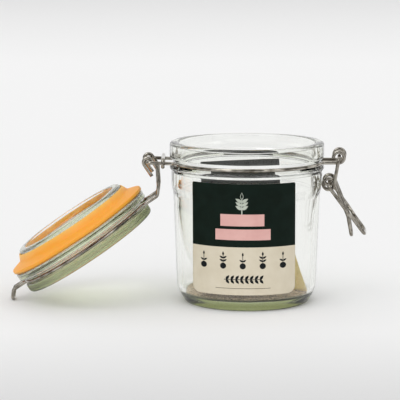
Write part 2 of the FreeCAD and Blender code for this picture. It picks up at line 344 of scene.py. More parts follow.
@dataclass(frozen=True)
class MouldedRubber(Finish):
    """Natural rubber ring, cut from a moulded tube: smooth, a little translucent and dusty."""

    axis: tuple[float, float, float]
    lip_mm: float
    seat_mm: float
    # deep is painted shade on the cut edge, and pale is a painted glow of light through the thin lip.
    deep: str = "#F29408"
    middle: str = "#F8A62A"
    pale: str = "#F9BC58"
    mottle: float = 0.3

    def shader(self, tree: Tree) -> Links:
        """Builds the rubber, with a painted glow at the thin lip, where light soaks through, and painted
        shade at the cut edge.

        Args:
            tree: The node tree.

        Returns:
            The sockets for the material's output.
        """
        cloud = pattern(tree, 9.0)
        depth = along_axis(tree, self.axis, self.lip_mm, self.seat_mm)
        settings = {"operation": "MULTIPLY_ADD", 1: self.mottle}
        mixed = add_node(tree, "Math", settings, {0: cloud, 2: depth}).outputs["Value"]
        settings = {"operation": "MULTIPLY", 1: 1 / (1 + self.mottle)}
        value = add_node(tree, "Math", settings, {0: mixed}).outputs["Value"]
        # Painted light along the ring: a painted glow at the lip, painted shade at the cut edge; the mottle
        # is the rubber's own uneven tone.
        stops = ((0.12, self.pale), (0.4, self.middle), (0.78, self.middle), (0.88, self.deep))
        grain = pattern(tree, 0.5, detail=2.0)
        settings = {
            "Roughness": 0.5,
            "IOR": 1.52,
            "Subsurface Weight": 0.45,
            "Subsurface Radius": (1.0, 0.45, 0.12),
            "Subsurface Scale": 0.003,
        }
        links = {"Base Color": ramp(tree, value, stops), "Normal": self.relief(tree, grain, 0.02, 0.4)}
        return {"Surface": add_node(tree, "BsdfPrincipled", settings, links).outputs["BSDF"]}


@dataclass(frozen=True)
class PrintedPaper(Finish):
    """Uncoated label paper with a flat layer of ink: matt, with the paper's own tooth."""

    ink: str
    worn: str

    def shader(self, tree: Tree) -> Links:
        """Builds the print, a little uneven where the ink sank into the paper.

        Args:
            tree: The node tree.

        Returns:
            The sockets for the material's output.
        """
        colour = ramp(tree, pattern(tree, 7.0, detail=5.0), ((0.3, self.ink), (0.75, self.worn)))
        tooth = self.relief(tree, pattern(tree, 0.45), 0.03, 0.5)
        settings = {"Roughness": 0.62, "IOR": 1.45, "Specular IOR Level": 0.12}
        links = {"Base Color": colour, "Normal": tooth}
        return {"Surface": add_node(tree, "BsdfPrincipled", settings, links).outputs["BSDF"]}


@dataclass(frozen=True)
class PressedCoir(Finish):
    """Coconut fibre and pith pressed dry: tan, crumbly, with darker fibres."""

    dark: str = "#84735E"
    middle: str = "#D2BFA4"
    pale: str = "#F4E4CC"

    def shader(self, tree: Tree) -> Links:
        """Builds the coir from crumbs of pith about 1.2 mm wide, crossed by stretched fibres.

        Args:
            tree: The node tree.

        Returns:
            The sockets for the material's output.
        """
        crumbs = pattern(tree, 1.2, detail=6.0, distortion=1.2)
        fibres = pattern(tree, 1.6, stretch=(0.25, 2.5, 2.5))
        half = add_node(tree, "Math", {"operation": "MULTIPLY", 1: 0.5}, {0: crumbs}).outputs["Value"]
        settings = {"operation": "MULTIPLY_ADD", 1: 0.5}
        value = add_node(tree, "Math", settings, {0: fibres, 2: half}).outputs["Value"]
        colour = ramp(tree, value, ((0.36, self.dark), (0.5, self.middle), (0.64, self.pale)))
        links = {"Base Color": colour, "Normal": self.relief(tree, value, 0.5)}
        return {"Surface": add_node(tree, "BsdfPrincipled", {"Roughness": 0.95}, links).outputs["BSDF"]}


@dataclass(frozen=True)
class PlainPaper(Finish):
    """Plain paper or thin card with visible fibres, that lets a little light through."""

    face: str
    shade: str

    def shader(self, tree: Tree) -> Links:
        """Builds the paper, with a soft mottle and the roughness of uncoated stock.

        Args:
            tree: The node tree.

        Returns:
            The sockets for the material's output.
        """
        fibres = pattern(tree, 1.5, detail=5.0, stretch=(1, 1, 2.2))
        colour = ramp(tree, fibres, ((0.3, self.shade), (0.65, self.face)))
        settings = {"Roughness": 0.8, "Specular IOR Level": 0.2}
        settings |= {"Subsurface Weight": 0.1, "Subsurface Scale": 0.001}
        links = {"Base Color": colour, "Normal": self.relief(tree, fibres, 0.06, 0.6)}
        return {"Surface": add_node(tree, "BsdfPrincipled", settings, links).outputs["BSDF"]}


@dataclass(frozen=True)
class PaintedFloor(Finish):
    """Matt white paint on board, with painted shade that makes it darker near the camera and far behind."""

    # front and behind are painted shade; middle is the paint's own white.
    front: str = "#DDDDDD"
    middle: str = "#F9F9F9"
    behind: str = "#E6E6E6"

    def shader(self, tree: Tree) -> Links:
        """Builds the paint, with painted shade that changes from front to back.

        Args:
            tree: The node tree.

        Returns:
            The sockets for the material's output.
        """
        reach = along_axis(tree, (0, 1, 0), -300, 4200)
        # Painted shade: darker at the front and far behind, the plain white in the middle.
        stops = ((0.0, self.front), (0.045, self.middle), (0.5, self.middle), (1.0, self.behind))
        settings = {"Roughness": 0.9, "Specular IOR Level": 0.1}
        links = {"Base Color": ramp(tree, reach, stops)}
        return {"Surface": add_node(tree, "BsdfPrincipled", settings, links).outputs["BSDF"]}


@dataclass(frozen=True)
class DarkCloth(Finish):
    """Black cloth on a board: a dim, even grey with no gloss."""

    grey: float

    def shader(self, tree: Tree) -> Links:
        """Builds the cloth, which looks the same in any light."""
        settings = {"Color": (self.grey, self.grey, self.grey * 0.97, 1)}
        return {"Surface": add_node(tree, "Emission", settings).outputs["Emission"]}


# Meshes, drawn in millimetres, with angles in radians


def round_outline(corners: Sequence[Corner], steps: int = 7) -> list[Point2]:
    """Rounds the corners of an outline.

    Args:
        corners: The corners in order.
        steps: How many chords each fillet has.

    Returns:
        The (radius, height) points, with a guard point beside each fillet that keeps long runs flat.
    """
    points: list[Vector] = []
    guard = 0.25
    for index, corner in enumerate(corners):
        here = Vector((corner.r, corner.z))
        if not corner.fillet:
            points.append(here)
            continue
        back = (Vector(corners[index - 1][:2]) - here).normalized()
        ahead = (Vector(corners[(index + 1) % len(corners)][:2]) - here).normalized()
        half = back.angle(ahead) / 2
        run = corner.fillet / math.tan(half)
        centre = here + (back + ahead).normalized() * (corner.fillet / math.sin(half))
        start = here + back * run - centre
        sweep = math.pi - 2 * half
        side = math.copysign(1, start.x * ahead.y - start.y * ahead.x)
        points.append(centre + start + back * guard)
        for step in range(steps + 1):
            points.append(centre + Matrix.Rotation(side * sweep * step / steps, 2) @ start)
        points.append(here + ahead * (run + guard))
    kept = [points[0]]
    for point in points[1:]:
        if (point - kept[-1]).length > 1e-4:
            kept.append(point)
    return [(max(point.x, 0.0), point.y) for point in kept]


def divide(outline: Sequence[Point2], longest: float) -> list[Point2]:
    """Splits the long runs of an outline.

    Args:
        outline: The points in order.
        longest: The longest run to leave, in millimetres.

    Returns:
        The outline with more points.
    """
    points = [outline[0]]
    for (r0, z0), (r1, z1) in zip(outline, outline[1:]):
        count = max(1, math.ceil(math.hypot(r1 - r0, z1 - z0) / longest))
        points += [(r0 + (r1 - r0) * i / count, z0 + (z1 - z0) * i / count) for i in range(1, count + 1)]
    return points


def add_object(name: str, data: bpy.types.ID) -> Piece:
    """Adds an object to the scene.

    Args:
        name: Its name.
        data: Its mesh, camera or lamp.

    Returns:
        The object.
    """
    made = bpy.data.objects.new(name, data)
    bpy.context.scene.collection.objects.link(made)
    return made


def finish_mesh(name: str, mesh: Mesh, smooth: bool = True) -> Piece:
    """Turns built faces to an object in the scene.

    Args:
        name: The piece's name.
        mesh: The faces, in millimetres. It is freed.
        smooth: Whether the faces shade smoothly.

    Returns:
        The new object, in metres.
    """
    bmesh.ops.scale(mesh, vec=(MM, MM, MM), verts=mesh.verts)
    bmesh.ops.recalc_face_normals(mesh, faces=mesh.faces)
    data = bpy.data.meshes.new(name)
    mesh.to_mesh(data)
    mesh.free()
    if smooth:
        data.shade_smooth()
    return add_object(name, data)


def lathe(
    mesh: Mesh,
    outline: Sequence[Point2],
    turns: Sequence[float],
    closed: bool = False,
    shape: Shaper | None = None,
) -> None:
    """Turns an outline round the Z axis.

    Args:
        mesh: The mesh to add to.
        outline: (radius, height) points. A radius of 0 makes a pole.
        turns: The angles of the rings' points.
        closed: Whether the last point joins the first.
        shape: Gives a changed (radius, height) for an angle, radius and height.
    """
    rings: list[list[bmesh.types.BMVert]] = []
    for r, z in outline:
        if r < 1e-6:
            rings.append([mesh.verts.new((0, 0, z))])
            continue
        ring = []
        for turn in turns:
            rr, zz = shape(turn, r, z) if shape else (r, z)
            ring.append(mesh.verts.new((rr * math.cos(turn), rr * math.sin(turn), zz)))
        rings.append(ring)
    pairs = list(zip(rings, rings[1:])) + ([(rings[-1], rings[0])] if closed else [])
    for low, high in pairs:
        count = max(len(low), len(high))
        for i in range(count):
            j = (i + 1) % count
            corners = [low[i % len(low)], low[j % len(low)], high[j % len(high)], high[i % len(high)]]
            distinct = list(dict.fromkeys(corners))
            if len(distinct) > 2:
                mesh.faces.new(distinct)


def even_turns(count: int) -> list[float]:
    """Gives evenly spaced angles for one full turn."""
    return [2 * math.pi * i / count for i in range(count)]


def seam_turns(count: int, radius: float, seams: Sequence[float], width: float) -> list[float]:
    """Gives angles for one full turn, packed closely at the mould's seams.

    Args:
        count: How many even angles there are.
        radius: The wall's radius.
        seams: The seams' angles.
        width: The seam's half width.

    Returns:
        The sorted angles.
    """
    turns = set(round(t, 6) for t in even_turns(count))
    for seam in seams:
        for share in (-2, -1.4, -0.9, -0.5, 0, 0.5, 0.9, 1.4, 2):
            turns.add(round((seam + share * width / radius) % (2 * math.pi), 6))
    ordered = sorted(turns)
    least = 0.12 * width / radius
    return [t for i, t in enumerate(ordered) if i == 0 or t - ordered[i - 1] > least]


def shell(
    mesh: Mesh,
    front: Sequence[Sequence[Vector]],
    back: Sequence[Sequence[Vector]],
    index: Callable[[int, int], int] | None = None,
    others: tuple[int, int] = (0, 0),
) -> None:
    """Closes two grids of points to one thin solid.

    Args:
        mesh: The mesh to add to.
        front: Rows of points on the front.
        back: Rows of points on the back, as many as the front has.
        index: Gives a material number for a row and column of the front.
        others: The material numbers of the back and of the edges.
    """
    rows, columns = len(front), len(front[0])
    near = [[mesh.verts.new(p) for p in row] for row in front]
    far = [[mesh.verts.new(p) for p in row] for row in back]
    for i in range(rows - 1):
        for j in range(columns - 1):
            face = mesh.faces.new((near[i][j], near[i][j + 1], near[i + 1][j + 1], near[i + 1][j]))
            face.material_index = index(i, j) if index else 0
            face = mesh.faces.new((far[i][j], far[i + 1][j], far[i + 1][j + 1], far[i][j + 1]))
            face.material_index = others[0]
    rim = [(0, j) for j in range(columns)] + [(i, columns - 1) for i in range(1, rows)]
    rim += [(rows - 1, j) for j in range(columns - 2, -1, -1)] + [(i, 0) for i in range(rows - 2, 0, -1)]
    for (i, j), (k, m) in zip(rim, rim[1:] + rim[:1]):
        face = mesh.faces.new((near[i][j], far[i][j], far[k][m], near[k][m]))
        face.material_index = others[1]


def strand(mesh: Mesh, points: Sequence[Vector], radius: float) -> None:
    """Adds a thin closed tube of four sides along points.

    Args:
        mesh: The mesh to add to.
        points: The tube's middle line.
        radius: The tube's radius, which tapers to half at the ends.
    """
    sides = 4
    rings = []
    for i, point in enumerate(points):
        along = (points[min(i + 1, len(points) - 1)] - points[max(i - 1, 0)]).normalized()
        across = along.cross(Vector((0, 0, 1)))
        across = across.normalized() if across.length > 1e-6 else Vector((1, 0, 0))
        up = across.cross(along)
        size = radius * (0.5 if i in (0, len(points) - 1) else 1.0)
        ring = []
        for k in range(sides):
            turn = 2 * math.pi * k / sides
            ring.append(mesh.verts.new(point + (across * math.cos(turn) + up * math.sin(turn)) * size))
        rings.append(ring)
    for low, high in zip(rings, rings[1:]):
        for k in range(sides):
            mesh.faces.new((low[k], low[(k + 1) % sides], high[(k + 1) % sides], high[k]))
    mesh.faces.new(rings[0][::-1])
    mesh.faces.new(rings[-1])


def dress(piece: Piece, materials: Iterable[Material]) -> None:
    """Gives a piece its materials, in the order of its faces' material numbers.

    Args:
        piece: The piece.
        materials: Its materials.
    """
    while piece.data.materials:
        piece.data.materials.pop()
    for material in materials:
        piece.data.materials.append(material)


def report(piece: Piece, body: Body) -> None:
    """Logs a piece that is in place."""
    LOG.info("%s rides on %s, %d faces", piece.name, body.value, len(piece.data.polygons))


def place(piece: Piece, body: Body, slot: Slot, node: str | None, materials: Iterable[Material]) -> None:
    """Dresses a new piece and ties it to the frame.

    Args:
        piece: The piece, in place.
        body: The body that it rides on.
        slot: The record's material slot; not used.
        node: The CAD node that it stands for, if any.
        materials: Its materials.
    """
    dress(piece, materials)
    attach(piece, body.value)
    if node:
        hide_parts(node)
    report(piece, body)


# Sub-assemblies


@dataclass
class JarBody:
    """The pressed glass jar. Sizes are in millimetres."""

    height: float = 101.5
    base_radius: float = 43.8
    top_radius: float = 46.1
    shoulder_radius: float = 47.3
    collar_radius: float = 48.5
    mouth_radius: float = 42.8
    inner_base_radius: float = 40.4
    floor: float = 6.5
    foot_radius: float = 39.0
    pushup_radius: float = 31.0
    pushup_height: float = 1.6
    heel_height: float = 8.0
    wall_height: float = 68.6
    shoulder_height: float = 73.0
    belt_height: float = 88.8
    groove_floor: float = 46.35
    seam_height: float = 0.16
    seam_half_width: float = 0.35
    ripple: float = 0.07

    def outline(self) -> list[Point2]:
        """Gives the glass's section, from the middle of the foot round to the middle of the floor.

        Returns:
            The outline.
        """
        groove, belt, collar = 0.8, self.belt_height, self.collar_radius
        edge = groove + collar - self.groove_floor
        corners = [
            Corner(0, self.pushup_height),
            Corner(self.pushup_radius - self.pushup_height, self.pushup_height, 3.0),
            Corner(self.pushup_radius, 0, 0.8),
            Corner(self.foot_radius, 0, 2.2),
            Corner(self.base_radius, self.heel_height, 16.0),
            Corner(self.top_radius, self.wall_height, 15.0),
            Corner(self.shoulder_radius, self.shoulder_height, 15.0),
            Corner(self.shoulder_radius, 82.8, 0.9),
            Corner(collar, 84.7, 1.5),
            Corner(collar, belt - edge, 1.5),
            Corner(self.groove_floor, belt - groove, 0.5),
            Corner(self.groove_floor, belt + groove, 0.5),
            Corner(collar, belt + edge, 1.0),
            Corner(collar, self.height, 2.0),
            Corner(self.mouth_radius, self.height, 1.6),
            Corner(self.inner_base_radius, self.floor, 2.0),
            Corner(0, self.floor),
        ]
        return divide(round_outline(corners), 3.0)

    def shape(self, turn: float, r: float, z: float) -> Point2:
        """Adds the mould's seams outside and a slow ripple inside.

        Args:
            turn: The angle in radians.
            r: The radius.
            z: The height.

        Returns:
            The changed radius and height.
        """
        wall = self.inner_base_radius + (self.mouth_radius - self.inner_base_radius) * z / self.height + 1.2
        if r > wall and z > 4:
            away = min(abs(turn), abs(turn - math.pi), abs(turn - 2 * math.pi)) * r / self.seam_half_width
            return r + self.seam_height * math.exp(-away * away) * (away < 3), z
        if 12 < z < self.height - 6:
            spot = Vector((math.cos(turn) * 2.2, math.sin(turn) * 2.2, z / 26))
            return r + self.ripple * noise.noise(spot), z
        return r, z

    def build(self, glass: Material) -> None:
        """Builds and places the jar.

        Args:
            glass: Its material.
        """
        mesh = bmesh.new()
        turns = seam_turns(288, self.collar_radius, (0.0, math.pi), self.seam_half_width)
        lathe(mesh, self.outline(), turns, shape=self.shape)
        place(finish_mesh("pressed_jar", mesh), Body.JAR, Slot.GLASS, "jar_glass", [glass])


@dataclass
class LidSet:
    """The glass lid and its rubber ring, drawn closed and swung open. Sizes are in millimetres."""

    opening: Matrix
    datum: float = 91.3
    boss_radius: float = 38.1
    boss_depth: float = 11.6
    dish_radius: float = 33.5
    dish_depth: float = 5.6
    flange_radius: float = 47.9
    flange_depth: float = 16.3
    groove_radius: float = 43.15
    disc_radius: float = 46.1
    disc_depth: float = 20.45
    thickness: float = 26.65
    rib_pitch: float = 1.4
    rib_height: float = 0.42
    rib_reach: float = 2.3
    ring_lip: float = 9.2
    ring_radius: float = 48.3
    ring_kept: float = 0.34

    def outline(self) -> list[Point2]:
        """Gives the lid's section, from the middle of the dish round to the middle of the outer face.

        Returns:
            The outline.
        """
        corners = [
            Corner(0, self.dish_depth),
            Corner(self.dish_radius - 1.5, self.dish_depth, 3.0),
            Corner(self.dish_radius, 0, 0.9),
            Corner(self.boss_radius, 0, 1.8),
            Corner(self.boss_radius, self.boss_depth, 0.3),
            Corner(self.flange_radius, self.boss_depth, 1.1),
            Corner(self.flange_radius, self.flange_depth, 1.1),
            Corner(self.groove_radius, self.flange_depth + 1.5, 0.5),
            Corner(self.groove_radius, self.disc_depth, 0.5),
            Corner(self.disc_radius, self.disc_depth, 1.0),
            Corner(self.disc_radius, self.thickness, 2.4),
            Corner(36.0, self.thickness, 2.0),
            Corner(34.5, self.thickness - 1.5, 1.0),
            Corner(0, self.thickness - 1.5),
        ]
        rounded = round_outline(corners, steps=5)
        return divide([(r, self.datum + depth) for r, depth in rounded], 5.0)

    def ribs(self) -> int:
        """Gives how many ribs go round the disc's edge."""
        return round(2 * math.pi * self.disc_radius / self.rib_pitch)

    def shape(self, turn: float, r: float, z: float) -> Point2:
        """Cuts fine upright ribs into the disc's edge, which give a grip.

        Args:
            turn: The angle in radians.
            r: The radius.
            z: The height.

        Returns:
            The changed radius and height.
        """
        depth = z - self.datum
        if r < self.disc_radius - self.rib_reach or depth < self.disc_depth + 0.9:
            return r, z
        fade = min(1.0, (r - self.disc_radius + self.rib_reach) / 1.2)
        return r - self.rib_height * fade * (0.5 - 0.5 * math.cos(self.ribs() * turn)), z

    def axis(self) -> tuple[float, float, float]:
        """Gives the open lid's own axis, from the boss to the outer face."""
        return tuple(self.opening.to_3x3() @ Vector((0, 0, 1)))

    def middle(self, depth: float) -> Vector:
        """Gives the point on the open lid's axis at a depth, in metres."""
        return self.opening @ Vector((0, 0, (self.datum + depth) * MM))

    def place_mm(self, depth: float) -> float:
        """Gives how far along the lid's axis a depth lies, from the frame's origin."""
        return self.middle(depth).dot(Vector(self.axis())) / MM

    def swing(self, mesh: Mesh) -> None:
        """Swings a piece that was drawn closed, in millimetres, to the rest pose.

        Args:
            mesh: The piece's faces.
        """
        move = self.opening.copy()
        move.translation = self.opening.translation / MM
        bmesh.ops.transform(mesh, matrix=move, verts=mesh.verts)

    def build_glass(self, glass: Material) -> None:
        """Builds and places the lid's glass.

        Args:
            glass: Its material.
        """
        mesh = bmesh.new()
        lathe(mesh, self.outline(), even_turns(self.ribs() * 4), shape=self.shape)
        self.swing(mesh)
        place(finish_mesh("pressed_lid", mesh), Body.LID, Slot.GLASS, "lid_glass", [glass])

    def ring_outline(self) -> list[Point2]:
        """Gives the rubber ring's section: a lip that hugs the boss, flaring to the flange.

        Returns:
            The outline.
        """
        inner = self.boss_radius + 0.15
        corners = [
            Corner(inner, self.boss_depth - self.ring_lip, 0.3),
            Corner(inner + 0.9, self.boss_depth - self.ring_lip, 0.35),
            Corner(inner + 3.0, self.boss_depth - 4.7, 3.0),
            Corner(self.ring_radius, self.boss_depth - 2.4, 0.6),
            Corner(self.ring_radius, self.boss_depth - 0.05, 0.6),
            Corner(inner + 6.0, self.boss_depth - 0.15, 2.0),
            Corner(inner, self.boss_depth - 3.5, 2.0),
        ]
        return [(r, self.datum + depth) for r, depth in round_outline(corners)]

    def ring_shape(self, turn: float, r: float, z: float) -> Point2:
        """Makes the stretched ring a little uneven, as rubber is.

        Args:
            turn: The angle in radians.
            r: The radius.
            z: The height.

        Returns:
            The changed radius and height.
        """
        spot = Vector((math.cos(turn) * 1.6, math.sin(turn) * 1.6, 0.0))
        outward = max(0.0, (r - self.boss_radius - 1.0) / 9.0)
        return r, z + 0.35 * outward * noise.noise(spot) - 0.1 * outward

    def build_ring(self, rubber: Material) -> None:
        """Builds and places the rubber ring.

        Args:
            rubber: Its material.
        """
        mesh = bmesh.new()
        lathe(mesh, self.ring_outline(), even_turns(240), closed=True, shape=self.ring_shape)
        self.swing(mesh)
        ring = finish_mesh("rubber_ring", mesh)
        place(ring, Body.LID, Slot.RUBBER, "rubber_gasket", [rubber])
        seat = tuple(self.middle(self.boss_depth))
        self.axis()
        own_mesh(ring)


@dataclass
class WireWork:
    """The bent wires, which are the CAD's own solids in a better finish."""

    nodes: dict[str, Piece]

    def dress(self, wire: Material) -> None:
        """Gives each wire its material.

        Args:
            wire: Their material.
        """
        owners = {
            "neck_belt_wire": Body.JAR,
            "hinge_tie": Body.JAR,
            "lid_bail_wire": Body.LID,
            "clasp_lever": Body.LEVER,
            "clasp_link": Body.LINK,
        }
        for name, body in owners.items():
            piece = self.nodes[name]
            dress(piece, [wire])
            report(piece, body)


@dataclass
class LabelSet:
    """The paper label and its plain print. Sizes are in millimetres."""

    half_width: float = 31.7
    low: float = 11.1
    high: float = 80.6
    turn: float = -4.3
    corner: float = 4.5
    top_corner: float = 1.0
    split: float = 41.15
    gap: float = 0.1
    thickness: float = 0.2
    lift: float = 0.035

    def radius(self, z: float) -> float:
        """Gives the wall's radius at a height.

        Args:
            z: The height.

        Returns:
            The radius.
        """
        for (r0, z0), (r1, z1) in zip(self.profile, self.profile[1:]):
            if z0 <= z <= z1:
                return r0 + (r1 - r0) * (z - z0) / (z1 - z0)
        return self.profile[-1][0]

    def __post_init__(self) -> None:
        """Works out the glass's profile under the label once, bridged at the shoulder as paper does."""
        top = JarBody.shoulder_radius
        corners = [
            Corner(JarBody.base_radius, JarBody.heel_height),
            Corner(JarBody.top_radius, JarBody.wall_height, 15.0),
            Corner(top, JarBody.shoulder_height, 15.0),
            Corner(top, 90.0),
        ]
        self.profile = round_outline(corners)

    def on_wall(self, x: float, z: float, out: float) -> Vector:
        """Gives a point on the label.

        Args:
            x: The place across the label's face.
            z: The height.
            out: The distance from the glass.

        Returns:
            The point, in millimetres.
        """
        y = -math.sqrt((self.radius(z) + out) ** 2 - x * x)
        return Matrix.Rotation(math.radians(self.turn), 3, "Z") @ Vector((x, y, z))

    def half_at(self, z: float) -> float:
        """Gives the label's half width at a height, less at its rounded corners.

        Args:
            z: The height.

        Returns:
            The half width.
        """
        for corner, rise in ((self.corner, z - self.low), (self.top_corner, self.high - z)):
            if rise < corner:
                return self.half_width - corner + math.sqrt(max(0.0, corner**2 - (corner - rise) ** 2))
        return self.half_width

    def rows(self) -> list[float]:
        """Gives the heights of the sheet's rows.

        Returns:
            The sorted heights.
        """
        heights = {self.low, self.high, self.split}
        heights |= {self.low + self.corner * s for s in (0.01, 0.04, 0.1, 0.2, 0.35, 0.55, 0.8, 1.0)}
        heights |= {self.high - self.top_corner * s for s in (0.05, 0.2, 0.5, 1.0)}
        heights |= {self.low + 1.5 * i for i in range(4, 46)}
        ordered = sorted(heights)
        return [z for i, z in enumerate(ordered) if i == 0 or z - ordered[i - 1] > 0.02]

    def build_sheet(self, dark: Material, cream: Material, back: Material) -> None:
        """Builds the sheet, dark above and cream below.

        Args:
            dark: The ink of the upper part.
            cream: The ink of the lower part.
            back: The bare paper of the back and edges.
        """
        heights = self.rows()
        shares = [2 * j / 72 - 1 for j in range(73)]
        layers = []
        for out in (self.gap + self.thickness, self.gap):
            layers.append(
                [[self.on_wall(self.half_at(z) * share, z, out) for share in shares] for z in heights]
            )
        mesh = bmesh.new()
        shell(mesh, *layers, index=lambda i, j: int(heights[i] < self.split - 0.01), others=(2, 2))
        sheet = finish_mesh("label_sheet", mesh)
        place(sheet, Body.JAR, Slot.LABEL, "paper_label", [dark, cream, back])

    def add_shape(self, mesh: Mesh, outline: Sequence[Point2], index: int) -> None:
        """Lays a flat printed shape on the label.

        Args:
            mesh: The mesh to add to.
            outline: The shape's (across, height) corners.
            index: The shape's material number.
        """
        flat = bmesh.new()
        flat.faces.new([flat.verts.new((x, 0, z)) for x, z in outline])
        bmesh.ops.triangulate(flat, faces=flat.faces[:])
        low, high = min(x for x, _ in outline), max(x for x, _ in outline)
        cut = math.ceil(low)
        while cut < high:
            everything = flat.verts[:] + flat.edges[:] + flat.faces[:]
            bmesh.ops.bisect_plane(flat, geom=everything, plane_co=(cut, 0, 0), plane_no=(1, 0, 0))
            cut += 1
        out = self.gap + self.thickness + self.lift
        twins = {v: mesh.verts.new(self.on_wall(v.co.x, v.co.z, out)) for v in flat.verts}
        for face in flat.faces:
            made = mesh.faces.new([twins[v] for v in face.verts])
            made.material_index = index
        flat.free()

    def leaf(self, x: float, z: float, length: float, width: float, lean: float) -> list[Point2]:
        """Gives a pointed leaf that grows from a point.

        Args:
            x: The place of its stalk across the label.
            z: The height of its stalk.
            length: Its length.
            width: Its width.
            lean: Its direction in degrees from upright, positive to the right.

        Returns:
            The outline.
        """
        shares = [i / 7 for i in range(1, 7)]
        side = [(width / 2 * math.sin(math.pi * share**0.8), length * share) for share in shares]
        points = [(0.0, 0.0)] + side + [(0.0, length)] + [(-a, b) for a, b in reversed(side)]
        turn = math.radians(lean)
        cos, sin = math.cos(turn), math.sin(turn)
        return [(x + a * cos + b * sin, z - a * sin + b * cos) for a, b in points]

    def bar(self, x0: float, x1: float, z0: float, z1: float) -> list[Point2]:
        """Gives a plain rectangle."""
        return [(x0, z0), (x1, z0), (x1, z1), (x0, z1)]

    def disc(self, x: float, z: float, radius: float) -> list[Point2]:
        """Gives a round spot."""
        return [(x + radius * math.cos(t), z + radius * math.sin(t)) for t in even_turns(20)]

    def add_sprig(self, mesh: Mesh, x: float, z: float, size: float, pairs: int, index: int) -> None:
        """Prints an upright sprig with leaves in pairs.

        Args:
            mesh: The mesh to add to.
            x: The place across the label.
            z: The height of its foot.
            size: Its height.
            pairs: How many pairs of leaves it has.
            index: Its material number.
        """
        stem = size * 0.025
        self.add_shape(mesh, self.bar(x - stem, x + stem, z, z + size * 0.72), index)
        for pair in range(pairs):
            foot = z + size * (0.22 + 0.5 * pair / max(1, pairs))
            for side in (-1, 1):
                self.add_shape(mesh, self.leaf(x, foot, size * 0.34, size * 0.15, side * 58), index)
        self.add_shape(mesh, self.leaf(x, z + size * 0.68, size * 0.34, size * 0.15, 0), index)

    def build_print(self, finishes: Sequence[Material]) -> None:
        """Prints two blank bars, a sprig, a row of small plants and a garland.

        Args:
            finishes: The pale, pink, black and brown inks.
        """
        pale, pink, black, brown = range(4)
        mesh = bmesh.new()
        self.add_sprig(mesh, -0.6, 61.6, 13.6, 3, pale)
        self.add_shape(mesh, self.bar(-13.9, 13.1, 54.3, 61.7), pink)
        self.add_shape(mesh, self.bar(-17.0, 16.9, 45.6, 52.4), pink)
        for k in range(5):
            x = -24.4 + 12.2 * k
            self.add_shape(mesh, self.disc(x, 29.4, 1.9), black)
            self.add_sprig(mesh, x, 30.4, 7.4 + 0.5 * (k % 2), 1 + k % 2, black)
        self.add_shape(mesh, self.bar(-11.6, 11.6, 20.75, 21.15), black)
        for k in range(8):
            x = -10.5 + 3.0 * k
            self.add_shape(mesh, self.leaf(x, 21.0, 3.4, 1.7, 40), black)
            self.add_shape(mesh, self.leaf(x, 20.9, 3.4, 1.7, 140), black)
        self.add_shape(mesh, self.bar(-17.0, 17.0, 15.2, 15.5), brown)
        place(finish_mesh("label_print", mesh), Body.JAR, Slot.LABEL, None, finishes)


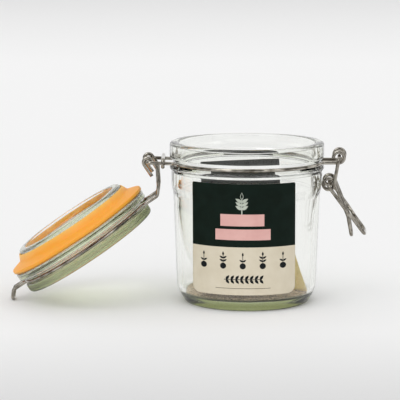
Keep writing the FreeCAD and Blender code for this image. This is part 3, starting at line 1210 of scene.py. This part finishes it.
@dataclass
class GrowKit:
    """The coir disc, seed bag and folded card inside the jar. Sizes are in millimetres."""

    coir_radius: float = 38.0
    coir_low: float = 6.55
    coir_high: float = 9.05
    contents: float = 9.1
    fibre_count: int = 420
    seed: int = 7
    bag_height: float = 48.5
    bag_right: Point2 = (36.8, 21.8)
    bag_width: Point2 = (44.0, 17.0)
    bag_depth: Point2 = (5.6, 1.3)
    bag_middle: float = -12.0
    card_width: float = 50.0
    card_height: float = 78.9
    card_middle: float = -1.2
    card_front: float = -4.0
    card_leaf: float = 0.6
    card_thickness: float = 1.4
    card_roll: float = -2.4
    card_lean: float = -4.0

    def build_coir(self, coir: Material) -> None:
        """Builds the pressed disc, crumbly at its edge, with loose fibres on it.

        Args:
            coir: Its material.
        """
        corners = [
            Corner(0, self.coir_low),
            Corner(self.coir_radius, self.coir_low, 1.0),
            Corner(self.coir_radius, self.coir_high, 1.0),
            Corner(0, self.coir_high),
        ]
        outline = divide(round_outline(corners), 0.9)

        def crumble(turn: float, r: float, z: float) -> Point2:
            """Wears the surface inwards by up to half a millimetre.

            Args:
                turn: The angle in radians.
                r: The radius.
                z: The height.

            Returns:
                The changed radius and height.
            """
            spot = Vector((r * math.cos(turn), r * math.sin(turn), z))
            worn = 0.45 * abs(noise.noise(spot * 0.55)) + 0.3 * abs(noise.noise(spot * 1.7))
            if z > self.coir_high - 0.6:
                return r, z - worn
            if r > self.coir_radius - 0.5:
                return r - 1.3 * worn, z
            return r, z

        mesh = bmesh.new()
        lathe(mesh, outline, even_turns(230), shape=crumble)
        place(finish_mesh("coir_cake", mesh), Body.JAR, Slot.COIR, "coir_disc", [coir])
        draw = random.Random(self.seed)
        fibres = bmesh.new()
        reach = self.coir_radius - 1.5
        for _ in range(self.fibre_count):
            r, turn = reach * math.sqrt(draw.random()), draw.uniform(0, 2 * math.pi)
            at = Vector((r * math.cos(turn), r * math.sin(turn), self.coir_high - 0.12))
            heading, points = draw.uniform(0, 2 * math.pi), []
            for step in range(6):
                lift = 0.22 * math.sin(math.pi * step / 5) * draw.random()
                points.append(at + Vector((0, 0, lift)))
                heading += draw.uniform(-0.5, 0.5)
                ahead = at + Vector((math.cos(heading), math.sin(heading), 0)) * draw.uniform(0.6, 1.7)
                if ahead.xy.length < reach:
                    at = ahead
                else:
                    heading += math.pi
                    at = at + Vector((math.cos(heading), math.sin(heading), 0)) * 0.7
            strand(fibres, points, draw.uniform(0.09, 0.17))
        place(finish_mesh("coir_fibres", fibres), Body.JAR, Slot.COIR, None, [coir])

    def build_bag(self, paper: Material) -> None:
        """Builds the seed bag: full at the foot, pinched and folded over at the top.

        Args:
            paper: Its material.
        """
        rows, columns = 48, 40

        def blend(ends: Point2, share: float) -> float:
            """Gives a size between those at the foot and the top."""
            return ends[0] + (ends[1] - ends[0]) * share

        mesh = bmesh.new()
        fronts: list[list[Vector]] = []
        backs: list[list[Vector]] = []
        for i in range(rows + 1):
            share = i / rows
            z = self.contents + 0.05 + (self.bag_height - 0.1) * share
            right = blend(self.bag_right, share)
            width = blend(self.bag_width, share)
            depth = blend(self.bag_depth, share) * (1 - 0.5 * (1 - share) ** 12)
            near, far = [], []
            for j in range(columns + 1):
                across = 2 * j / columns - 1
                fullness = (1 - abs(across) ** 2.6) * 0.92 + 0.08
                x = right - width / 2 + across * width / 2
                spot = Vector((x * 0.11, share * 5.0, 3.0))
                crease = 0.55 * noise.noise(spot) + 0.35 * noise.noise(spot * 2.9)
                crease *= min(1.0, 4 * (1 - abs(across))) * min(1.0, 6 * share, 8 * (1 - share) + 0.2)
                half = depth / 2 * fullness
                near.append(Vector((x, self.bag_middle - half + min(0.5, crease), z)))
                far.append(Vector((x, self.bag_middle + half + min(0.4, crease), z)))
            fronts.append(near)
            backs.append(far)
        shell(mesh, fronts, backs)
        place(finish_mesh("seed_packet", mesh), Body.JAR, Slot.BAG, "seed_bag", [paper])

    def build_card(self, face: Material, core: Material) -> None:
        """Builds the card: two leaves folded along the left side.

        Args:
            face: The card's dark face.
            core: The card's cut edge.
        """
        width, height, leaf = self.card_width, self.card_height, self.card_leaf
        low = Vector((self.card_middle - width / 2, self.card_front, self.contents))
        heel = low + Vector((0, self.card_thickness, 0))
        stand = turn_about(heel, self.card_lean, "X") @ turn_about(low, self.card_roll, "Y")
        xs = [width * i / 40 for i in range(41)]
        mesh = bmesh.new()
        for way, inset, edge in ((-1, 0.0, 0.0), (1, self.card_thickness - leaf, 0.5)):
            grids: list[list[list[Vector]]] = []
            for depth in (inset, inset + leaf):
                grids.append([])
                for share in (i / 30 for i in range(31)):
                    row = []
                    for x in xs:
                        bow = 0.12 * math.sin(math.pi * share) * way * (x / width)
                        y = min(self.card_thickness, max(0.0, depth + bow))
                        point = Vector((min(x, width - edge), y, share * (height - edge)))
                        row.append(stand @ (low + point))
                    grids[-1].append(row)
            shell(mesh, *grids, others=(0, 1))
        spine = []
        for reach in (0.7, 0.35):
            fold = [
                (0.65 - reach * math.sin(turn) * 0.9, 0.7 - reach * math.cos(turn))
                for turn in (math.pi * k / 6 for k in range(7))
            ]
            levels = [(height - 0.3) * i / 30 for i in range(31)]
            spine.append([[stand @ (low + Vector((x, y, z))) for x, y in fold] for z in levels])
        shell(mesh, *spine)
        card = finish_mesh("folded_leaflet", mesh, smooth=False)
        place(card, Body.JAR, Slot.CARD, "folded_card", [face, core])


def towards(azimuth: float, elevation: float) -> Vector:
    """Gives a direction from the degrees right of the camera and above the table."""
    a, e = math.radians(azimuth), math.radians(elevation)
    return Vector((math.sin(a) * math.cos(e), -math.cos(a) * math.cos(e), math.sin(e)))


@dataclass
class Studio:
    """The camera, floor, light and the dark boards that draw the edges of glass and wire."""

    distance: float = 1.28
    elevation: float = 8.3
    target: tuple[float, float, float] = (-0.0296, 0.0, 0.064)
    lens: float = 182.0
    even_light: float = 0.71
    shown_white: float = 0.92
    board_reach: float = 2200.0
    board_top: float = 2600.0

    def camera(self) -> None:
        """Sets the camera at the photograph's viewing angle."""
        back = towards(0, self.elevation)
        data = bpy.data.cameras.new("camera")
        data.lens, data.sensor_width = self.lens, 36.0
        data.clip_start, data.clip_end = 0.05, 60.0
        made = add_object("camera", data)
        made.location = Vector(self.target) + back * self.distance
        made.rotation_mode = "QUATERNION"
        made.rotation_quaternion = (-back).to_track_quat("-Z", "Y")
        bpy.context.scene.camera = made

    def floor(self) -> None:
        """Lays a pale floor that fills the view."""
        mesh = bmesh.new()
        bmesh.ops.create_grid(mesh, x_segments=2, y_segments=2, size=12000)
        floor = finish_mesh("floor", mesh, smooth=False)
        dress(floor, [PaintedFloor("painted_board").make()])

    def world(self) -> None:
        """Makes the even light of a white tent, which the camera, metal and glass see as white."""
        world = bpy.data.worlds.new("tent")
        bpy.context.scene.world = world
        world.use_nodes = True
        tree = world.node_tree
        tree.nodes.clear()
        rays = add_node(tree, "LightPath").outputs
        seen = rays["Is Camera Ray"]
        for kind in ("Is Glossy Ray", "Is Transmission Ray"):
            seen = add_node(tree, "Math", {"operation": "MAXIMUM"}, {0: seen, 1: rays[kind]}).outputs["Value"]
        links = {0: seen}
        for number, strength in enumerate((self.even_light, self.shown_white), 1):
            settings = {"Color": (1, 1, 1, 1), "Strength": strength}
            links[number] = add_node(tree, "Background", settings).outputs["Background"]
        mix = add_node(tree, "MixShader", links=links)
        add_node(tree, "OutputWorld", links={"Surface": mix.outputs["Shader"]})

    def lamp(self, name: str, way: Vector, strength: float, spread: float) -> None:
        """Adds a soft distant lamp.

        Args:
            name: The lamp's name.
            way: The direction that it stands in.
            strength: Its strength.
            spread: How wide it looks, in degrees.
        """
        data = bpy.data.lights.new(name, "SUN")
        data.energy, data.angle = strength, math.radians(spread)
        made = add_object(name, data)
        made.rotation_mode = "QUATERNION"
        made.rotation_quaternion = way.to_track_quat("Z", "Y")

    def board(self, name: str, azimuth: float, width: float, grey: float) -> Piece:
        """Stands a dark board beside the set, which only glass and metal see.

        Args:
            name: The board's name.
            azimuth: Where it stands, in degrees from the camera, positive to the right.
            width: Its width in metres.
            grey: Its brightness.

        Returns:
            The board.
        """
        centre = towards(azimuth, 0) * self.board_reach
        side = towards(azimuth + 90, 0) * (width / 2 / MM)
        mesh = bmesh.new()
        corners = [centre - side, centre + side, centre + side, centre - side]
        heights = (5, 5, self.board_top, self.board_top)
        mesh.faces.new([mesh.verts.new(p + Vector((0, 0, z))) for p, z in zip(corners, heights)])
        board = finish_mesh(name, mesh, smooth=False)
        dress(board, [DarkCloth(name, grey).make()])
        board.visible_camera = board.visible_diffuse = board.visible_shadow = False
        return board

    def build(self) -> None:
        """Sets up the whole studio."""
        bpy.context.scene.view_settings.view_transform = "Standard"
        self.camera()
        self.floor()
        self.world()
        self.lamp("key", towards(-40, 48), 0.8, 45)
        self.lamp("fill", towards(35, 35), 0.35, 60)
        self.board("board_left", -82, 2.2, 0.14)
        self.board("board_right", 82, 2.2, 0.14)
        self.board("dark_room", 0, 2.0, 0.03).visible_transmission = False


def turn_about(point: Vector, degrees: float, axis: str) -> Matrix:
    """Gives a turn about an axis through a point."""
    turn = Matrix.Rotation(math.radians(degrees), 4, axis)
    return Matrix.Translation(point) @ turn @ Matrix.Translation(-point)


def opening_matrix(joints: Sequence[dict[str, Any]]) -> Matrix:
    """Gives the lid's swing from closed to the rest pose.

    Args:
        joints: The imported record's joints.

    Returns:
        The matrix, in metres.
    """
    hinge = next(joint for joint in joints if joint["name"] == "lid_hinge")
    return turn_about(Vector(hinge["pos_m"]), -hinge["range_deg"][1], "Y")


def main() -> None:
    """Builds the whole scene."""
    logging.basicConfig(level=logging.INFO, format="%(message)s")
    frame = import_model()
    Studio().build()
    lid = LidSet(opening_matrix(frame["joints"]))
    wire = DrawnWire("tinned_steel_wire").make()
    JarBody().build(PressedGlass("pressed_soda_lime_glass").make())
    clear, thick = lid.place_mm(lid.flange_depth + 1.5), lid.place_mm(lid.disc_depth + 1.0)
    glass = PressedGlass("pressed_lid_glass", lid.axis(), clear, thick, "#C0CC98", haze=0.2, density=2.0)
    lid.build_glass(glass.make())
    seat = lid.place_mm(lid.boss_depth)
    lid.build_ring(MouldedRubber("natural_rubber", lid.axis(), seat - lid.ring_lip, seat).make())
    WireWork(frame["nodes"]).dress(wire)
    label = LabelSet()
    label.build_sheet(
        PrintedPaper("dark_green_ink", "#0B1811", "#11201A").make(),
        PrintedPaper("cream_ink", "#D6CCB6", "#DED5C1").make(),
        PlainPaper("bare_label_paper", "#E9E5DB", "#DAD4C6").make(),
    )
    inks = (
        ("pale_ink", "#B7BFB2", "#C9CFC3"),
        ("pink_ink", "#DDABA5", "#E6B8B1"),
        ("black_ink", "#15181A", "#1F2325"),
        ("brown_ink", "#5E574B", "#6E675A"),
    )
    label.build_print([PrintedPaper(*ink).make() for ink in inks])
    kit = GrowKit()
    kit.build_coir(PressedCoir("pressed_coir").make())
    kit.build_bag(PlainPaper("pale_yellow_paper", "#EDD588", "#DFC571").make())
    kit.build_card(
        PlainPaper("dark_card_face", "#1A1E17", "#131611").make(),
        PlainPaper("card_core", "#B8A67F", "#9C8B66").make(),
    )


if __name__ == "__main__":
    main()
